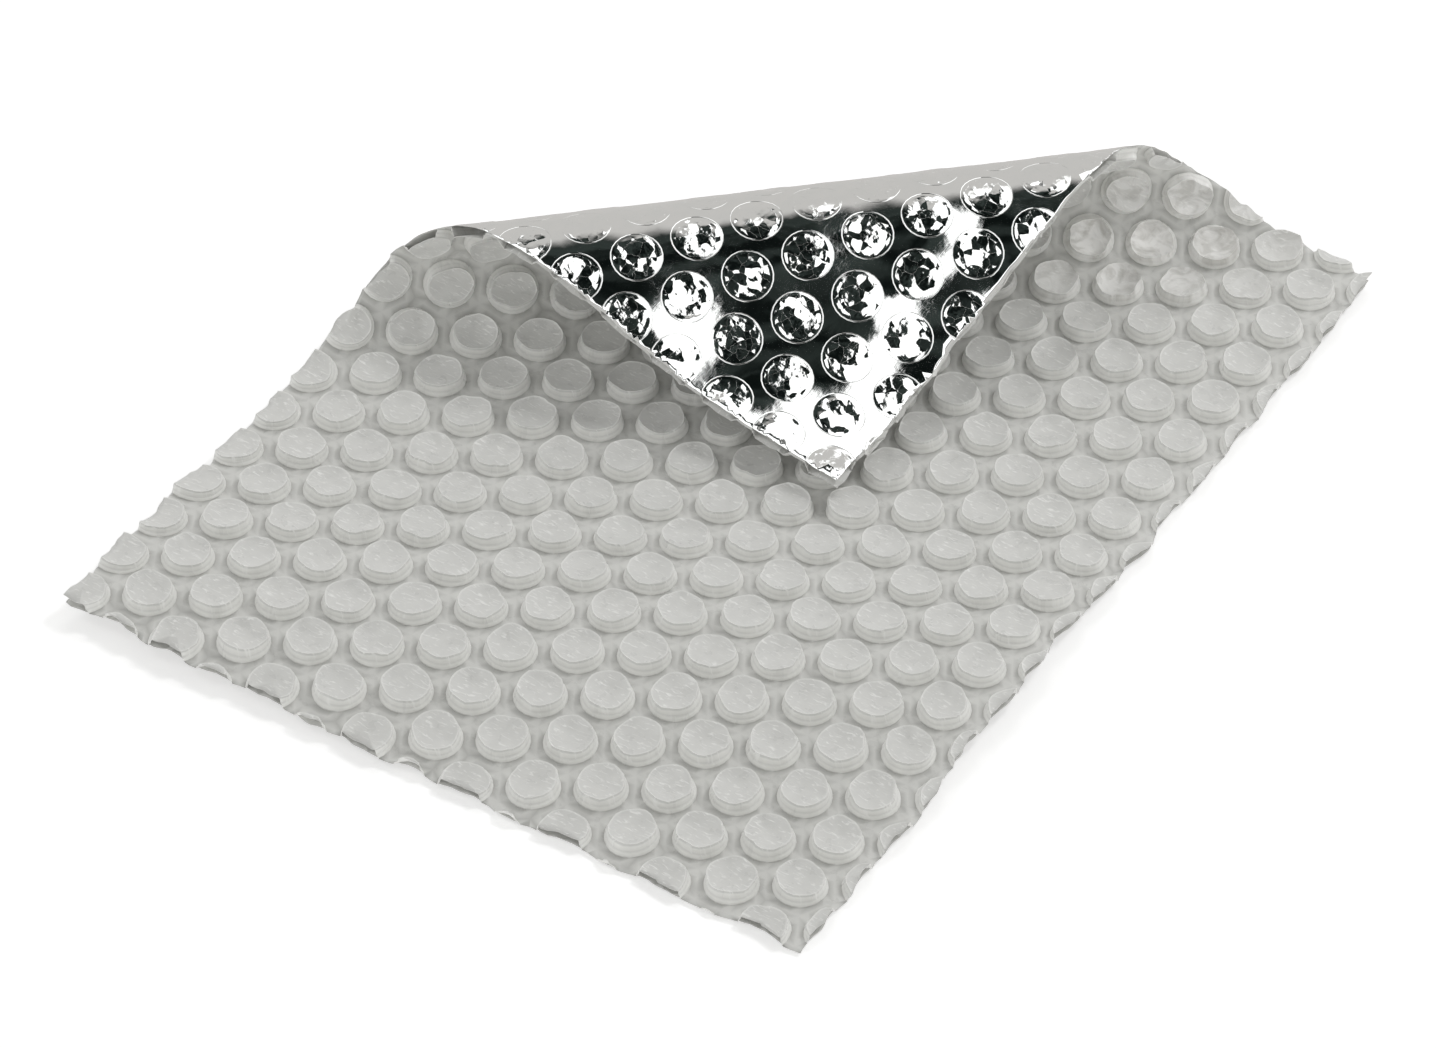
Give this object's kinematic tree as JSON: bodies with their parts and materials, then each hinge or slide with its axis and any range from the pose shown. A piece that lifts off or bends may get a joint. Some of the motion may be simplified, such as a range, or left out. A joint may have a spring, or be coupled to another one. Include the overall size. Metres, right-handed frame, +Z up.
{
  "type": "foil bubble insulation sheet",
  "caption": "Cut rectangular sheet of bubble insulation with a reflective foil backing, lying bubble side up with its back corner folded over to show the foil.",
  "frame": {"origin": "centre of the part's bounding box in plan, on the floor plane it rests on", "axes": "+Z up out of the bubble side, +Y along the long edge of the sheet towards the folded corner's end, +X along the short edge away from the folded corner"},
  "size_m": [0.1604, 0.2116, 0.0293],
  "materials": {
    "bubble_polyethylene": "translucent off-white polyethylene, satin",
    "foil": "bright metallised foil with a fine rolled grain"
  },
  "bodies": {
    "root": {"bubble_film": "bubble_polyethylene", "foil_backing": "foil"}
  },
  "joints": []
}
